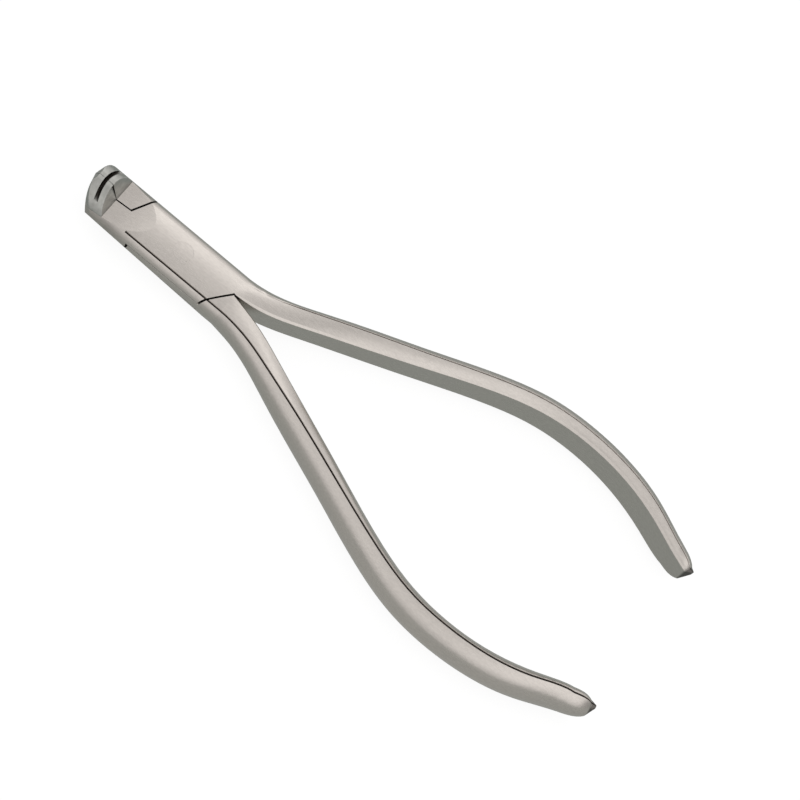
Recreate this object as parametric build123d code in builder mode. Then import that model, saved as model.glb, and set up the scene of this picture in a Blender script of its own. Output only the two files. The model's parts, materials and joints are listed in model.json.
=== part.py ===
# Orthodontic wire cutter: two crossed steel halves on one pin, in a box joint, with a hard
# tip brazed onto each jaw. The upper half carries a slotted box, and the tongue of the lower
# half passes through it.
#
# Frame: the pivot axis is Z, and Z = 0 is the flat underside of the box. The jaws point to
# -X and the handles to +X. The box half has its jaw at -Y and its handle at +Y.

import math
import os
from collections import namedtuple

from build123d import *

# Joint block, in mm: crowned above, with a stepped edge at -Y and one large round at +Y
joint_thickness = 5.4
joint_half_length = 11.8
crown_radius = 22.0
stepped_flat = 4.18
stepped_half_width = 5.55
round_half_width = 6.4
round_radius = 3.2
front_lap_angle = 24.0
back_lap_angle = 36.0
lap_gap = 0.35
seam_gap = 0.3

# Grinding of the lower sides, which narrows the head towards the jaws
grind_start = 10.0
grind_taper = 1.66
grind_lean = 33.5

# Tongue, its slot and the pin
tongue_thickness = 1.4
tongue_side_gap = 0.06
tongue_radius = 10.0
slot_end_gap = 0.4
pin_radius = 2.0
pin_running_gap = 0.04

# Jaws
jaw_reach = 21.2
jaw_front_angle = 14.0
jaw_front_lean = 33.0
jaw_corner_radius = 4.8
jaw_bevel_start = 16.5
jaw_bevel_angle = 20.0
seat_start = 7.0
seat_angle = 6.8
step_reach = 10.3

# Hard tips
tip_length = 5.9
tip_height = 2.15
tip_land_half_width = 0.9
tip_flank_foot = 4.2
tip_flank_bulge = 0.7
tip_back_lean = 33.0
tip_meeting_gap = 0.04
tip_relief = 0.45
tip_relief_reach = 2.0
tip_relief_drop = 0.45
nose_length = 0.7
nose_drop = 0.8
nip_length = 1.9
slit_width = 0.75
slit_depth = 1.7
slit_sweep_radius = 9.0

# Line of a handle's inner face, seen from above: bend, straight shank, bow, straight tail
crotch_angle = 6.0
shank_angle = 24.93
shank_bend_radius = 34.0
bow_radius = 45.9
tail_angle = 22.73
tail_length = 7.74
handle_reach = 109.4

# End of a handle: a rounded stretch that stops short, and a blunt point on it
tail_round_length = 4.0
tail_round_stops = (0.0, 0.45, 0.75, 0.93)
tail_round_share = 0.42
point_length = 0.9
point_share = 0.15
point_rise = 1.7

# Cross-sections of a handle: height of the flat inner face, width of the facet above it,
# height over the two crests, full width, and rise above the middle of the joint. The waist
# comes at a share of the straight shank
waist_share = 0.25
Section = namedtuple("Section", "face facet crest width rise")
box_shoulder = Section(face=4.9, facet=3.5, crest=5.3, width=5.6, rise=0.0)
tongue_shoulder = Section(face=4.9, facet=3.9, crest=5.4, width=5.55, rise=0.0)
neck = Section(face=4.8, facet=3.6, crest=5.7, width=5.6, rise=0.0)
waist = Section(face=5.0, facet=3.15, crest=7.0, width=5.6, rise=0.0)
grip = Section(face=5.9, facet=2.0, crest=8.2, width=5.05, rise=0.1)
palm = Section(face=6.4, facet=1.5, crest=8.6, width=4.65, rise=0.2)
heel = Section(face=6.9, facet=1.6, crest=8.8, width=4.65, rise=0.3)
tail = Section(face=6.1, facet=1.5, crest=7.5, width=4.3, rise=0.3)

# Edge details of the sections: the riser and groove of a step, and the broken inner edges
riser_height = 0.45
riser_lean = 0.12
groove_width = 0.4
groove_share = 0.3
shoulder_fade = 0.25
inner_edge_break = 0.4
root_edge_break = 0.15
facet_crown = 0.14

# Derived places
mid_z = joint_thickness / 2
handle_root_x = joint_half_length + lap_gap
front_lap_slope = math.tan(math.radians(front_lap_angle))
back_lap_slope = math.tan(math.radians(back_lap_angle))
tongue_bottom = mid_z - tongue_thickness / 2
slot_thickness = tongue_thickness + 2 * tongue_side_gap
slot_radius = tongue_radius + slot_end_gap
ridge_z = joint_thickness + tip_height
nose_z = ridge_z - nose_drop
tip_back_x = tip_length - jaw_reach
outer_y = 2 * round_half_width
outer_x = 2 * jaw_reach
half_seam = seam_gap / 2
point_x = handle_reach - point_length
tail_cap_x = point_x - tail_round_stops[-1] * tail_round_length


def heading(angle):
    radians = math.radians(angle)
    return math.cos(radians), math.sin(radians)


def inner_line_nodes():
    """The points where the inner line of the +Y handle changes, and its two arc centres.

    The straight shank takes up what the bend, the bow and the tail leave of the handle's reach.
    """
    root = (handle_root_x, half_seam)
    cos_start, sin_start = heading(crotch_angle)
    cos_shank, sin_shank = heading(shank_angle)
    cos_tail, sin_tail = heading(tail_angle)
    bend_centre = (root[0] - shank_bend_radius * sin_start, root[1] + shank_bend_radius * cos_start)
    bend_end = (
        bend_centre[0] + shank_bend_radius * sin_shank,
        bend_centre[1] - shank_bend_radius * cos_shank,
    )
    bow_run = bow_radius * (sin_shank + sin_tail)
    shank_run = tail_cap_x - tail_length - bow_run - bend_end[0]
    bow_start = (bend_end[0] + shank_run, bend_end[1] + shank_run * sin_shank / cos_shank)
    bow_centre = (bow_start[0] + bow_radius * sin_shank, bow_start[1] - bow_radius * cos_shank)
    bow_end = (bow_centre[0] + bow_radius * sin_tail, bow_centre[1] + bow_radius * cos_tail)
    return bend_centre, bend_end, bow_start, bow_centre, bow_end


bend_centre, bend_end, bow_start, bow_centre, bow_end = inner_line_nodes()


def inner_y(x):
    """Distance of the inner face from the middle plane, at x."""
    if x <= bend_end[0]:
        return bend_centre[1] - math.sqrt(shank_bend_radius**2 - (x - bend_centre[0]) ** 2)
    if x <= bow_start[0]:
        return bend_end[1] + (x - bend_end[0]) * math.tan(math.radians(shank_angle))
    if x <= bow_end[0]:
        return bow_centre[1] + math.sqrt(bow_radius**2 - (x - bow_centre[0]) ** 2)
    return bow_end[1] - (x - bow_end[0]) * math.tan(math.radians(tail_angle))


def crown_z(y):
    """Height of the crowned top of the head."""
    return joint_thickness - crown_radius + math.sqrt(crown_radius**2 - y**2)


def step(y, z, way, fade=1.0):
    """Edge of a flat at (y, z), the foot of its riser, and the start of the round beside it."""
    return [
        (y, z),
        (y + riser_lean, z + way * fade * riser_height),
        (y + groove_width, z + way * fade * riser_height * groove_share),
    ]


# Stepped side of the head: one arc between its upper and its lower step
stepped_top = step(stepped_flat, crown_z(stepped_flat), -1)
stepped_low = step(stepped_flat, 0, 1)
stepped_mid_z = (stepped_top[-1][1] + stepped_low[-1][1]) / 2
stepped_bulge = stepped_half_width - stepped_low[-1][0]
stepped_chord = stepped_top[-1][1] - stepped_low[-1][1]
stepped_radius = (stepped_chord**2 / 4 + stepped_bulge**2) / (2 * stepped_bulge)
stepped_mid_y = stepped_half_width - stepped_radius

# Round side of the head: an arc that leaves the crown smoothly and ends at the lower step
round_mid_y = round_half_width - round_radius
round_drop = math.sqrt((crown_radius - round_radius) ** 2 - round_mid_y**2)
round_mid_z = joint_thickness - crown_radius + round_drop
round_start_angle = math.degrees(math.atan2(round_drop, round_mid_y))


def stepped_y(z):
    """Half-width of the head at z, on its stepped side."""
    return stepped_mid_y + math.sqrt(stepped_radius**2 - (z - stepped_mid_z) ** 2)


def round_y(z):
    """Half-width of the head at z, on its round side."""
    return round_mid_y + math.sqrt(round_radius**2 - (z - round_mid_z) ** 2)


def round_point(share):
    """Point of the round side, from its start on the crown (0) to its widest place (1)."""
    cos_angle, sin_angle = heading(round_start_angle * (1 - share))
    return (round_mid_y + round_radius * cos_angle, round_mid_z + round_radius * sin_angle)


round_low_z = riser_height * groove_share
round_low = step(round_y(round_low_z) - groove_width, 0, 1)


def draw_stepped_side(way):
    """Lines of the stepped side, from the upper flat to the lower one."""
    top = [(way * y, z) for y, z in stepped_top]
    low = [(way * y, z) for y, z in stepped_low]
    Polyline(*top)
    ThreePointArc(top[-1], (way * stepped_half_width, stepped_mid_z), low[-1])
    Polyline(*reversed(low))


def draw_round_side():
    """Lines of the round side, in as many pieces as the stepped one: a narrow flat parts its arc."""
    ThreePointArc(round_point(0), round_point(0.2), round_point(0.4))
    Line(round_point(0.4), round_point(0.43))
    ThreePointArc(round_point(0.43), round_point(1), round_low[-1])
    Polyline(*reversed(round_low))


def root_profile(draw_side, flat_end, low_end):
    """First section of the +Y handle: half of the head's own section, with the given side."""
    facet_start = half_seam + root_edge_break
    facet_middle = (facet_start + flat_end[0]) / 2
    face_low = (half_seam, root_edge_break)
    facet_top = (facet_start, crown_z(facet_start))
    with BuildSketch(Plane.YZ.offset(handle_root_x)) as section:
        with BuildLine():
            Polyline(face_low, (half_seam, crown_z(half_seam) - root_edge_break), facet_top)
            ThreePointArc(facet_top, (facet_middle, crown_z(facet_middle)), flat_end)
            draw_side()
            Polyline(low_end, (facet_start, 0), face_low)
        make_face()
    return section.sketch


def handle_profile(x, size, share=1.0, fade=1.0, turn=0.0):
    """Section of the +Y handle at x, shrunk about its middle to the given share.

    The section lies square to X, or turned about Z to lie square to the tail.
    """
    cos_turn, sin_turn = heading(turn)
    face_y = inner_y(x)
    middle_y = face_y + size.width / 2
    middle_z = mid_z + size.rise
    crest_y = face_y + size.facet
    facet_start = face_y + inner_edge_break
    facet_middle = (facet_start + crest_y) / 2
    facet_middle_rise = (size.face + size.crest) / 4 + facet_crown

    def above(y, rise):
        return (share * cos_turn * (y - middle_y), middle_z + share * rise)

    def below(y, rise):
        return above(y, -rise)

    face_end = (face_y, size.face / 2 - inner_edge_break)
    facet_edge = (facet_start, size.face / 2)
    facet_bulge = (facet_middle, facet_middle_rise)
    crest = step(crest_y, size.crest / 2, -1, fade)
    top = [above(*point) for point in crest]
    low = [below(*point) for point in crest]
    plane = Plane((x, middle_y, 0), x_dir=(sin_turn, cos_turn, 0), z_dir=(cos_turn, -sin_turn, 0))
    with BuildSketch(plane) as section:
        with BuildLine():
            Polyline(below(*face_end), above(*face_end), above(*facet_edge))
            ThreePointArc(above(*facet_edge), above(*facet_bulge), top[0])
            Polyline(*top)
            ThreePointArc(top[-1], above(face_y + size.width, 0), low[-1])
            Polyline(*reversed(low))
            ThreePointArc(low[0], below(*facet_bulge), below(*facet_edge))
            Line(below(*facet_edge), below(*face_end))
        make_face()
    return section.sketch


def between(first, second):
    return Section(*((a + b) / 2 for a, b in zip(first, second)))


def handle_sections(root, shoulder, fade):
    """Sections from the root to the start of the tail's round, with one more between most pairs."""
    stations = [
        (bend_end[0] + waist_share * (bow_start[0] - bend_end[0]), waist),
        (bow_start[0], grip),
        (bow_centre[0], palm),
        (bow_end[0], heel),
    ]
    shoulder_x = (handle_root_x + bend_end[0]) / 2
    last_x, last_size = bend_end[0], neck
    sections = [root, handle_profile(shoulder_x, shoulder, fade=fade), handle_profile(last_x, last_size)]
    for x, size in stations:
        sections.append(handle_profile((last_x + x) / 2, between(last_size, size)))
        sections.append(handle_profile(x, size))
        last_x, last_size = x, size
    return sections + [handle_profile(tail_cap_x, tail, turn=tail_angle)]


def tail_sections():
    """Sections of the tail's round, which shrink like a quarter of an ellipse."""
    sections = []
    for stop in tail_round_stops:
        share = tail_round_share + (1 - tail_round_share) * math.sqrt(1 - stop**2)
        x = tail_cap_x + stop * tail_round_length
        sections.append(handle_profile(x, tail, share, turn=tail_angle))
    return sections


def handle(root, shoulder, fade=1.0):
    """One handle at +Y, from its root to the blunt point at its end."""
    rounding = tail_sections()
    blunt_end = tail._replace(rise=tail.rise + point_rise)
    point = handle_profile(handle_reach, blunt_end, point_share, turn=tail_angle)
    with BuildPart() as whole:
        loft(handle_sections(root, shoulder, fade))
        loft(rounding)
        loft([rounding[-1], point], ruled=True)
    return whole.part


round_root = root_profile(draw_round_side, round_point(0), round_low[0])
stepped_root = root_profile(lambda: draw_stepped_side(1), stepped_top[0], stepped_low[0])
box_handle = handle(round_root, box_shoulder, fade=shoulder_fade)
tongue_handle = mirror(handle(stepped_root, tongue_shoulder), about=Plane.XZ)


def head_outline():
    """The head seen from above: parallel sides, and a shallow point at the jaws."""
    front_slope = math.tan(math.radians(jaw_front_angle))
    with BuildSketch() as outline:
        with BuildLine():
            Polyline(
                (handle_root_x, -stepped_half_width),
                (front_slope * stepped_half_width - jaw_reach, -stepped_half_width),
                (-jaw_reach, 0),
                (front_slope * round_half_width - jaw_reach, round_half_width),
                (handle_root_x, round_half_width),
                close=True,
            )
        make_face()
        fillet(outline.vertices().sort_by(Axis.X)[1:3], jaw_corner_radius)
    return outline.sketch


def head_section():
    """Section of the head at the joint, with its stepped side and its round side."""
    with BuildSketch(Plane.YZ.offset(-jaw_reach)) as section:
        with BuildLine():
            draw_stepped_side(-1)
            draw_round_side()
            ThreePointArc((-stepped_flat, stepped_top[0][1]), (0, joint_thickness), round_point(0))
            Line((-stepped_flat, 0), round_low[0])
        make_face()
    return section.sketch


def jaw_section():
    """Section of the jaw at -Y in front of the step: its side runs on up to the seat."""
    side_low = (-stepped_low[-1][0], stepped_low[-1][1])
    side_top = (-stepped_y(joint_thickness), joint_thickness)
    with BuildSketch(Plane.YZ.offset(-jaw_reach)) as section:
        with BuildLine():
            Polyline(side_top, (0, joint_thickness), (0, side_low[1]), side_low)
            ThreePointArc(side_low, (-stepped_half_width, stepped_mid_z), side_top)
        make_face()
    return section.sketch


def flank_middle(foot, top):
    """Middle of the slightly bulging flank of a tip."""
    length = math.dist(foot, top)
    outward = (top[1] - foot[1], foot[0] - top[0])
    way = math.copysign(1, foot[0])
    return tuple((a + b) / 2 + way * tip_flank_bulge * c / length for a, b, c in zip(foot, top, outward))


def gable_section():
    """Section of both tips: the head's sides rise in two flanks to a narrow land."""
    low_z = mid_z
    middle_z = (low_z + tip_flank_foot) / 2
    land_ends = [(way * tip_land_half_width, ridge_z) for way in (-1, 1)]
    with BuildSketch(Plane.YZ.offset(-jaw_reach)) as section:
        with BuildLine():
            for way, side_y, land_end in zip((-1, 1), (stepped_y, round_y), land_ends):
                low, middle, foot = ((way * side_y(z), z) for z in (low_z, middle_z, tip_flank_foot))
                ThreePointArc(low, middle, foot)
                ThreePointArc(foot, flank_middle(foot, land_end), land_end)
            Line(*land_ends)
            Line((-stepped_y(low_z), low_z), (round_y(low_z), low_z))
        make_face()
    return section.sketch


def seat_z(x):
    """Height of the sloping flat on top of the jaws, where the tips are seated."""
    return joint_thickness + (x + seat_start) * math.tan(math.radians(seat_angle))


def back_face_x(z):
    """Place of the leaning back face of the tips, at z."""
    return tip_back_x - (z - seat_z(tip_back_x)) * math.tan(math.radians(tip_back_lean))


land_back_x = back_face_x(ridge_z)


def bevel_z(x):
    """Height of the slope under the jaws."""
    return -(x + jaw_bevel_start) * math.tan(math.radians(jaw_bevel_angle))


def front_waste():
    """What is ground off in front, seen from the side: below the nose, and above it."""
    foot_x = nose_z * math.tan(math.radians(jaw_front_lean)) - jaw_reach
    with BuildSketch(Plane.XZ) as waste:
        with BuildLine():
            Polyline(
                (foot_x, 0),
                (-jaw_reach, nose_z),
                (nose_length - jaw_reach, ridge_z),
                (-outer_x, ridge_z),
                (-outer_x, 0),
                close=True,
            )
        make_face()
    return waste.sketch


def grind_plane(way, mid_y, middle_z, radius):
    """Plane that meets the lower side of the head at grind_start, and cuts in towards the jaws."""
    cos_lean, sin_lean = heading(grind_lean)
    cos_taper, sin_taper = heading(grind_taper)
    touch = (grind_start, way * (mid_y + radius * cos_lean), middle_z - radius * sin_lean)
    return Plane(touch, z_dir=(-sin_taper, way * cos_taper * cos_lean, -cos_taper * sin_lean))


# The whole head before it is shared out between the halves
with BuildPart() as head:
    extrude(head_section(), amount=handle_root_x + jaw_reach)
    extrude(jaw_section(), amount=jaw_reach - step_reach)
    extrude(head_outline(), amount=joint_thickness, mode=Mode.INTERSECT)
    with BuildSketch(Plane.XZ) as bevel_view:
        with BuildLine():
            Polyline((-jaw_bevel_start, 0), (-outer_x, 0), (-outer_x, bevel_z(-outer_x)), close=True)
        make_face()
    extrude(amount=outer_y, both=True, mode=Mode.SUBTRACT)
    with BuildSketch(Plane.XZ) as seat_view:
        with BuildLine():
            Polyline(
                (-seat_start, seat_z(-seat_start)),
                (-outer_x, seat_z(-outer_x)),
                (-outer_x, seat_z(-seat_start)),
                close=True,
            )
        make_face()
    extrude(amount=outer_y, both=True, mode=Mode.SUBTRACT)
    extrude(front_waste(), amount=outer_y, both=True, mode=Mode.SUBTRACT)
    split(bisect_by=grind_plane(-1, stepped_mid_y, stepped_mid_z, stepped_radius), keep=Keep.BOTTOM)
    split(bisect_by=grind_plane(1, round_mid_y, round_mid_z, round_radius), keep=Keep.BOTTOM)


def back_lap_x(y, gap=0.0):
    """Back edge of the box, at y below the middle plane."""
    return joint_half_length + gap + back_lap_slope * y


def front_lap_x(y, gap=0.0):
    """Front edge of the box, at y above the middle plane."""
    return front_lap_slope * y - joint_half_length - gap


# Half with the box: its jaw at -Y, two plates over and under the tongue, its handle at +Y
with BuildPart() as box_half:
    add(head.part)
    with BuildSketch(Plane.XY) as plate_plan:
        with BuildLine():
            Polyline(
                (-outer_x, -half_seam),
                (-outer_x, -outer_y),
                (back_lap_x(-outer_y), -outer_y),
                (back_lap_x(0), 0),
                (back_lap_x(0), half_seam),
                (handle_root_x, half_seam),
                (handle_root_x, outer_y),
                (front_lap_x(outer_y), outer_y),
                (front_lap_x(0), 0),
                (front_lap_x(0), -half_seam),
                close=True,
            )
        make_face()
    extrude(amount=joint_thickness, mode=Mode.INTERSECT)
    with BuildSketch(Plane.XY.offset(mid_z - slot_thickness / 2)) as slot_plan:
        Circle(slot_radius)
        with Locations((0, -half_seam)):
            Rectangle(outer_x, outer_y, align=(Align.MIN, Align.MAX))
        with Locations((0, half_seam)):
            Rectangle(outer_x, outer_y, align=(Align.MAX, Align.MIN))
    extrude(amount=slot_thickness, mode=Mode.SUBTRACT)
    add(box_handle)
    with Locations((0, 0, mid_z)):
        Hole(pin_radius)

# Half with the tongue: its jaw at +Y, the tongue through the box, its handle at -Y
with BuildPart() as tongue_half:
    with BuildSketch(Plane.XY) as shoulder_plan:
        for lap_x, way in ((back_lap_x, -1), (front_lap_x, 1)):
            with BuildLine():
                Polyline(
                    (lap_x(0, lap_gap), way * half_seam),
                    (lap_x(way * outer_y, lap_gap), way * outer_y),
                    (-way * outer_x, way * outer_y),
                    (-way * outer_x, way * half_seam),
                    close=True,
                )
            make_face()
    extrude(amount=joint_thickness)
    with BuildSketch(Plane.XY.offset(tongue_bottom)) as tongue_plan:
        Circle(tongue_radius)
        with Locations((0, -half_seam)):
            Rectangle(outer_x, outer_y, align=(Align.MIN, Align.MAX))
        with Locations((0, half_seam)):
            Rectangle(outer_x, outer_y, align=(Align.MAX, Align.MIN))
    extrude(amount=tongue_thickness)
    add(head.part, mode=Mode.INTERSECT)
    add(tongue_handle)
    with Locations((0, 0, mid_z)):
        Hole(pin_radius + pin_running_gap)

# Pin, ground flush with the box above and below
with BuildPart() as pivot_pin:
    Cylinder(pin_radius, joint_thickness, align=(Align.CENTER, Align.CENTER, Align.MIN))
    add(head.part, mode=Mode.INTERSECT)

# Both hard tips as one roof, with the curved slit that leaves a cutting and a holding nip
with BuildPart() as tip_roof:
    extrude(gable_section(), amount=jaw_reach)
    extrude(head_outline(), amount=ridge_z, mode=Mode.INTERSECT)
    with BuildSketch(Plane.XZ) as tip_view:
        with BuildLine():
            Polyline(
                (-outer_x, seat_z(-outer_x)),
                (tip_back_x, seat_z(tip_back_x)),
                (land_back_x, ridge_z),
                (-outer_x, ridge_z),
                close=True,
            )
        make_face()
    extrude(amount=outer_y, both=True, mode=Mode.INTERSECT)
    extrude(front_waste(), amount=outer_y, both=True, mode=Mode.SUBTRACT)
    with BuildSketch(Plane.XY.offset(ridge_z - slit_depth)) as slit_plan:
        with Locations((nip_length - jaw_reach + slit_sweep_radius, 0)):
            Circle(slit_sweep_radius)
            Circle(slit_sweep_radius - slit_width, mode=Mode.SUBTRACT)
            Rectangle(
                2 * slit_sweep_radius,
                4 * slit_sweep_radius,
                align=(Align.MIN, Align.CENTER),
                mode=Mode.SUBTRACT,
            )
    extrude(amount=slit_depth, mode=Mode.SUBTRACT)

with BuildPart() as box_tip:
    add(tip_roof.part)
    split(bisect_by=Plane.XZ.offset(tip_meeting_gap / 2), keep=Keep.TOP)
    with BuildSketch(Plane.XZ) as relief_view:
        with BuildLine():
            Polyline(
                (tip_back_x, seat_z(tip_back_x)),
                (land_back_x, ridge_z),
                (land_back_x - tip_relief, ridge_z),
                close=True,
            )
        make_face()
    relief_end = Vertex(back_face_x(ridge_z - tip_relief_drop), -tip_relief_reach, ridge_z - tip_relief_drop)
    loft([relief_view.sketch.face(), relief_end], mode=Mode.SUBTRACT)

with BuildPart() as tongue_tip:
    add(tip_roof.part)
    split(bisect_by=Plane.XZ.offset(-tip_meeting_gap / 2), keep=Keep.BOTTOM)

pieces = {
    "box_half": box_half,
    "tongue_half": tongue_half,
    "pivot_pin": pivot_pin,
    "box_cutting_tip": box_tip,
    "tongue_cutting_tip": tongue_tip,
}
os.makedirs("parts", exist_ok=True)
for name, piece in pieces.items():
    piece.part.label = name
    export_step(piece.part, f"parts/{name}.step")
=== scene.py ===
import json
import math

import bpy
from mathutils import Matrix, Vector


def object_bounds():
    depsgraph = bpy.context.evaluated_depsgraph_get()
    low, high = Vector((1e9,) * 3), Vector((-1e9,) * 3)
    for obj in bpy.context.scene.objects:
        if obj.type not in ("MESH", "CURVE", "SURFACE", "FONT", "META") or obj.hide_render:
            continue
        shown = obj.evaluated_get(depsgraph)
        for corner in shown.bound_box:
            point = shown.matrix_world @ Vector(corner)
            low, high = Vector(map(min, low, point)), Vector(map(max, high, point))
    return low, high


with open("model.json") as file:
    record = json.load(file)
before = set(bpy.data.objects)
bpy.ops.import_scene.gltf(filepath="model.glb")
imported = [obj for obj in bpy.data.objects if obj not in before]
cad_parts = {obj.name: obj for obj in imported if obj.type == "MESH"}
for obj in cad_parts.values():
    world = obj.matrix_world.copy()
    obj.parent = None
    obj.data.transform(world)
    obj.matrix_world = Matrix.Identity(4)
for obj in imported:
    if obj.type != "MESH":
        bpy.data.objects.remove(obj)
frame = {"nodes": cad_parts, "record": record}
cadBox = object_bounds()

mm = 0.001


# node helpers

def newMaterial(name):
    material = bpy.data.materials.new(name)
    material.use_nodes = True
    nodes = material.node_tree.nodes
    return material, nodes, material.node_tree.links, nodes["Principled BSDF"]


def addNode(nodes, kind, **settings):
    node = nodes.new(kind)
    for key, value in settings.items():
        if key in node.inputs:
            node.inputs[key].default_value = value
        else:
            setattr(node, key, value)
    return node


def feed(links, value, socket):
    # a number is set on the socket, and another node's output is linked to it
    if isinstance(value, (int, float)):
        socket.default_value = value
    else:
        links.new(value, socket)


def mapped(nodes, links, source, fromRange, toRange=(0, 1), fade="LINEAR"):
    node = addNode(nodes, "ShaderNodeMapRange", interpolation_type=fade)
    ends = ("From Min", "From Max", "To Min", "To Max")
    for end, value in zip(ends, (*fromRange, *toRange)):
        node.inputs[end].default_value = value
    links.new(source, node.inputs["Value"])
    return node.outputs["Result"]


def ramped(nodes, links, source, stops):
    ramp = addNode(nodes, "ShaderNodeValToRGB")
    elements = ramp.color_ramp.elements
    while len(elements) < len(stops):
        elements.new(0.5)  # moved to its own place below
    for element, (position, colour) in zip(elements, stops):
        element.position = position
        element.color = (*colour, 1)
    links.new(source, ramp.inputs["Fac"])
    return ramp.outputs["Color"]


def maths(nodes, links, operation, *values):
    node = addNode(nodes, "ShaderNodeMath", operation=operation)
    for value, socket in zip(values, node.inputs):
        feed(links, value, socket)
    return node.outputs["Value"]


def facing(nodes, links, vector, direction):
    node = addNode(nodes, "ShaderNodeVectorMath", operation="DOT_PRODUCT")
    node.inputs[1].default_value = direction
    links.new(vector, node.inputs[0])
    return node.outputs["Value"]


def axesOf(nodes, links, vector):
    node = addNode(nodes, "ShaderNodeSeparateXYZ")
    links.new(vector, node.inputs["Vector"])
    return node.outputs


def mixed(nodes, links, kind, share, first, second):
    node = addNode(nodes, "ShaderNodeMix", data_type=kind)
    links.new(share, node.inputs["Factor"])
    for value, name in ((first, "A"), (second, "B")):
        if isinstance(value, tuple):
            node.inputs[name].default_value = value
        else:
            feed(links, value, node.inputs[name])
    return node.outputs["Result"]


def shaderMix(nodes, links, share, first, second):
    node = addNode(nodes, "ShaderNodeMixShader")
    feed(links, share, node.inputs["Fac"])
    links.new(first, node.inputs[1])
    links.new(second, node.inputs[2])
    return node.outputs["Shader"]


# finishes

satinSteel = {
    "darkColour": (0.595, 0.557, 0.521),
    "lightColour": (0.672, 0.630, 0.588),
    "roughness": (0.24, 0.32),
    "brushStretch": (1100, 3400, 3400),
    "brushHeight": 0.004 * mm,
    "patchStretch": (60, 160, 160),
    "edgeRound": 0.10 * mm,
    "shadeReach": 0.9 * mm,
    "darkBelow": 0.34,
    "unshadedAbove": 0.62,
    "jawShare": 0.80,
}

tipAlloy = {
    "darkColour": (0.40, 0.40, 0.375),
    "lightColour": (0.51, 0.51, 0.485),
    "roughness": (0.30, 0.42),
    "brushStretch": (1400, 500, 1400),
    "brushHeight": 0.003 * mm,
    "patchStretch": (300, 300, 300),
    "edgeRound": 0.22 * mm,
    "shadeReach": 1.5 * mm,
    "darkBelow": 0.45,
    "unshadedAbove": 0.95,
    "jawShare": 1.0,
}

# brushing and grinding marks, the same in both finishes
grind = {
    "noiseSpread": (0.3, 0.7),  # most of a noise's values lie between these
    "noiseRoughness": 0.55,
    "brushDetail": 4,
    "patchDetail": 2,
    "bumpStrength": 0.5,
    "edgeSamples": 6,
}

# painted shade: ambient occlusion darkens the colour and raises the roughness in grooves, gaps and
# the slit
paintedShade = {
    "colour": (0.030, 0.024, 0.020),
    "roughness": 0.6,
    "samples": 8,
}

# the colour is scaled darker from the joint towards the jaws, down to jawShare
seatShade = {"span": (-7.5 * mm, -13 * mm)}

# painted shade darkens the blunt points at the handle ends, measured along the tails
pointShade = {
    "along": (0.9223, -0.3864, 0),  # the tail's direction on the +Y side
    "span": (92.75 * mm, 93.1 * mm),
    "share": 0.22,
}


def stretchedNoise(nodes, links, stretch, detail):
    # noise drawn out along one direction of the piece
    place = addNode(nodes, "ShaderNodeTexCoord")
    mapping = addNode(nodes, "ShaderNodeMapping", Scale=stretch)
    noise = addNode(
        nodes, "ShaderNodeTexNoise",
        Scale=1.0, Detail=detail, Roughness=grind["noiseRoughness"],
    )
    links.new(place.outputs["Object"], mapping.inputs["Vector"])
    links.new(mapping.outputs["Vector"], noise.inputs["Vector"])
    return noise.outputs["Fac"]


def paintedShadeShare(nodes, links, finish):
    # painted shade mask: 1 where ambient occlusion finds nearby surfaces, 0 in the open
    hidden = addNode(
        nodes, "ShaderNodeAmbientOcclusion",
        samples=paintedShade["samples"], Distance=finish["shadeReach"],
    )
    return mapped(nodes, links, hidden.outputs["AO"], (finish["unshadedAbove"], finish["darkBelow"]))


def shadedToEnds(nodes, links, colour, jawShare):
    position = addNode(nodes, "ShaderNodeTexCoord").outputs["Object"]
    along = axesOf(nodes, links, position)["X"]
    atJaws = mapped(nodes, links, along, seatShade["span"], (1, jawShare))
    mirrored = addNode(nodes, "ShaderNodeVectorMath", operation="ABSOLUTE")
    links.new(position, mirrored.inputs[0])
    reach = facing(nodes, links, mirrored.outputs["Vector"], pointShade["along"])
    # painted shade on the blunt points at the handle ends
    atPoints = mapped(nodes, links, reach, pointShade["span"], (1, pointShade["share"]))
    scaled = addNode(nodes, "ShaderNodeVectorMath", operation="SCALE")
    links.new(colour, scaled.inputs[0])
    links.new(maths(nodes, links, "MULTIPLY", atJaws, atPoints), scaled.inputs["Scale"])
    return scaled.outputs["Vector"]


def brushedMetal(name, finish):
    material, nodes, links, shader = newMaterial(name)
    shader.inputs["Metallic"].default_value = 1.0
    brush = stretchedNoise(nodes, links, finish["brushStretch"], grind["brushDetail"])
    patch = stretchedNoise(nodes, links, finish["patchStretch"], grind["patchDetail"])
    # painted shade: the colour goes dark in grooves, gaps and the slit
    share = paintedShadeShare(nodes, links, finish)

    shades = zip(grind["noiseSpread"], (finish["darkColour"], finish["lightColour"]))
    metal = ramped(nodes, links, brush, list(shades))
    metal = shadedToEnds(nodes, links, metal, finish["jawShare"])
    colour = mixed(nodes, links, "RGBA", share, metal, (*paintedShade["colour"], 1))
    links.new(colour, shader.inputs["Base Color"])

    polish = mapped(nodes, links, patch, grind["noiseSpread"], finish["roughness"])
    roughness = mixed(nodes, links, "FLOAT", share, polish, paintedShade["roughness"])
    links.new(roughness, shader.inputs["Roughness"])

    softEdge = addNode(
        nodes, "ShaderNodeBevel",
        samples=grind["edgeSamples"], Radius=finish["edgeRound"],
    )
    bump = addNode(
        nodes, "ShaderNodeBump",
        Strength=grind["bumpStrength"], Distance=finish["brushHeight"],
    )
    links.new(brush, bump.inputs["Height"])
    links.new(softEdge.outputs["Normal"], bump.inputs["Normal"])
    links.new(bump.outputs["Normal"], shader.inputs["Normal"])
    return material


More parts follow.
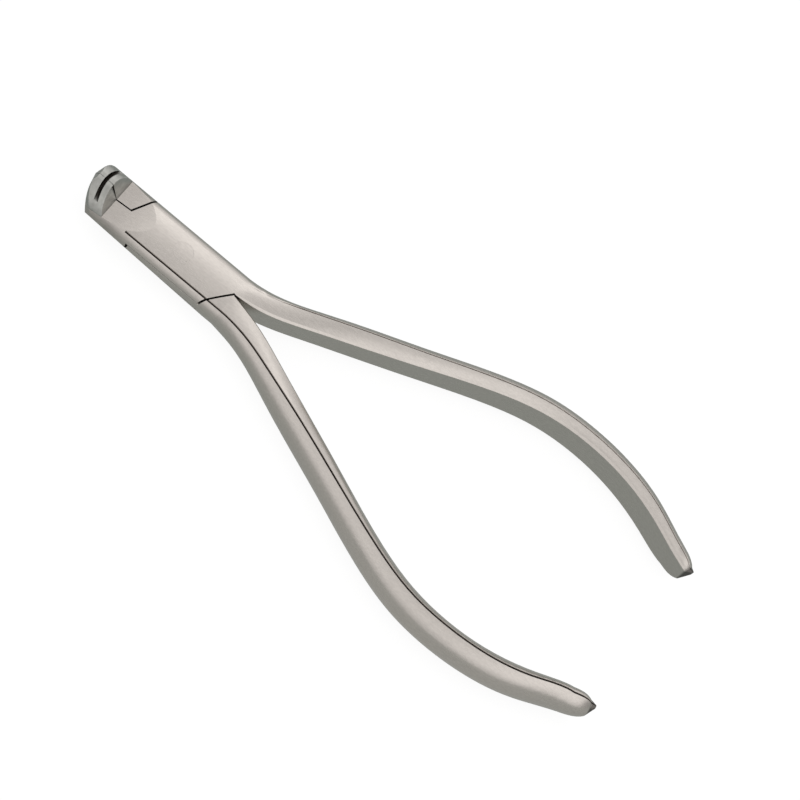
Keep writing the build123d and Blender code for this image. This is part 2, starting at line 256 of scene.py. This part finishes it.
finishes = {
    "satin_steel": brushedMetal("satinSteel", satinSteel),
    "pin_steel": brushedMetal("pinSteel", satinSteel),
    "tip_alloy": brushedMetal("tipAlloy", tipAlloy),
}
slotOfNode = {part["node"]: part["material_slot"] for part in frame["record"]["subparts"]}
for nodeName, node in frame["nodes"].items():
    for slot in node.material_slots:
        slot.material = finishes[slotOfNode[nodeName]]
print("finishes set on", len(frame["nodes"]), "nodes")


# stage: white floor and soft studio light

stage = {
    "floorSize": 3.0,
    "floorColour": (0.8, 0.8, 0.8, 1),
    "floorRoughness": 0.8,
    "floorInSteel": (0.355, 0.38, 0.365, 1),
    "openFloorInSteel": (0.455, 0.465, 0.45, 1),
    "openFloorSpan": (0, -30 * mm),
    "floorGlow": 1.12,
    "shadowShare": 0.2,
    "skyColour": (1.0, 0.99, 0.985, 1),
    "skyPlain": 0.80,
    "skyTowardsHandles": 1.06,
    "handlesSpan": (0.12, 0.55),
    "skyPastHandles": 0.45,
    "pastSpan": (0.7, 0.95),
    "skyTowardsSides": 0.12,
    "skyByHeight": ((0.0, 0.70), (0.45, 1.0), (0.86, 1.0), (1.0, 0.82)),
    "stripFrom": (-0.1, 0.78, 0.62),
    "stripSpan": (0.962, 1.0),
    "stripGain": 0.50,
    "backdropColour": (1, 1, 1, 1),
}


def paleFloor(stage):
    # white with a soft shadow to the camera, grey in the steel, plain to the rest
    material, nodes, links, shader = newMaterial("paleFloor")
    shader.inputs["Base Color"].default_value = stage["floorColour"]
    shader.inputs["Roughness"].default_value = stage["floorRoughness"]
    plain = shader.outputs["BSDF"]
    light = addNode(nodes, "ShaderNodeLightPath").outputs

    white = addNode(nodes, "ShaderNodeEmission", Strength=stage["floorGlow"])
    shaded = shaderMix(nodes, links, stage["shadowShare"], white.outputs["Emission"], plain)

    position = addNode(nodes, "ShaderNodeTexCoord").outputs["Object"]
    openness = mapped(nodes, links, axesOf(nodes, links, position)["Y"], stage["openFloorSpan"])
    # painted reflection: glossy rays see the floor as a grey glow, lighter from Y 0 to -30 mm,
    # which darkens the steel's lower sides
    inSteel = addNode(nodes, "ShaderNodeEmission")
    greys = mixed(nodes, links, "RGBA", openness, stage["floorInSteel"], stage["openFloorInSteel"])
    links.new(greys, inSteel.inputs["Color"])
    mirrored = shaderMix(
        nodes, links, light["Is Glossy Ray"], plain, inSteel.outputs["Emission"],
    )

    direct = maths(nodes, links, "MAXIMUM", light["Is Camera Ray"], light["Is Transmission Ray"])
    seen = shaderMix(nodes, links, direct, mirrored, shaded)
    links.new(seen, nodes["Material Output"].inputs["Surface"])
    return material


def studioSky(stage):
    # soft sky, brighter towards the handles and the sides, with a strip light over the far shoulder
    world = bpy.data.worlds.new("studioSky")
    world.use_nodes = True
    nodes, links = world.node_tree.nodes, world.node_tree.links
    direction = addNode(nodes, "ShaderNodeTexCoord").outputs["Generated"]
    axes = axesOf(nodes, links, direction)

    levels = (stage["skyPlain"], stage["skyTowardsHandles"])
    lengthways = mapped(nodes, links, axes["X"], stage["handlesSpan"], levels)
    sideways = maths(nodes, links, "ABSOLUTE", axes["Y"])
    spread = maths(nodes, links, "MULTIPLY_ADD", sideways, stage["skyTowardsSides"], lengthways)
    towardsStrip = facing(nodes, links, direction, stage["stripFrom"])
    strip = mapped(
        nodes, links, towardsStrip, stage["stripSpan"], (0, stage["stripGain"]), "SMOOTHSTEP",
    )
    lit = maths(nodes, links, "ADD", spread, strip)

    stops = [(level, (share, share, share)) for level, share in stage["skyByHeight"]]
    height = ramped(nodes, links, axes["Z"], stops)
    past = mapped(
        nodes, links, axes["X"], stage["pastSpan"], (1, stage["skyPastHandles"]), "SMOOTHSTEP",
    )
    fading = maths(nodes, links, "MULTIPLY", height, past)

    tinted = nodes["Background"]
    tinted.inputs["Color"].default_value = stage["skyColour"]
    links.new(maths(nodes, links, "MULTIPLY", lit, fading), tinted.inputs["Strength"])
    white = addNode(nodes, "ShaderNodeBackground", Strength=1.0, Color=stage["backdropColour"])
    light = addNode(nodes, "ShaderNodeLightPath").outputs
    seen = shaderMix(
        nodes, links, light["Is Camera Ray"],
        tinted.outputs["Background"], white.outputs["Background"],
    )
    links.new(seen, nodes["World Output"].inputs["Surface"])
    return world


floorLevel = cadBox[0].z
bpy.ops.mesh.primitive_plane_add(size=stage["floorSize"], location=(0, 0, floorLevel))
floor = bpy.context.object
floor.name = "floor"
floor.data.materials.append(paleFloor(stage))
bpy.context.scene.world = studioSky(stage)
bpy.context.scene.view_settings.view_transform = "Standard"
print("stage set, floor at", round(floorLevel / mm, 2), "mm")


# camera at the photograph's viewing angle

view = {
    "target": Vector((47.51, 7.29, 2.7)) * mm,
    "azimuth": -2.75,
    "elevation": 56.02,
    "roll": 42.17,
    "lens": 200,
    "distance": 812.2 * mm,
}


def placeCamera(view):
    azimuth, elevation = math.radians(view["azimuth"]), math.radians(view["elevation"])
    back = Vector((
        math.sin(azimuth) * math.cos(elevation),
        -math.cos(azimuth) * math.cos(elevation),
        math.sin(elevation),
    ))
    data = bpy.data.cameras.new("camera")
    data.lens = view["lens"]
    camera = bpy.data.objects.new("camera", data)
    aim = (-back).to_track_quat("-Z", "Y").to_matrix().to_4x4()
    roll = Matrix.Rotation(math.radians(view["roll"]), 4, "Z")
    camera.matrix_world = Matrix.Translation(view["target"] + back * view["distance"]) @ aim @ roll
    bpy.context.scene.collection.objects.link(camera)
    bpy.context.scene.camera = camera


placeCamera(view)
print("camera placed")
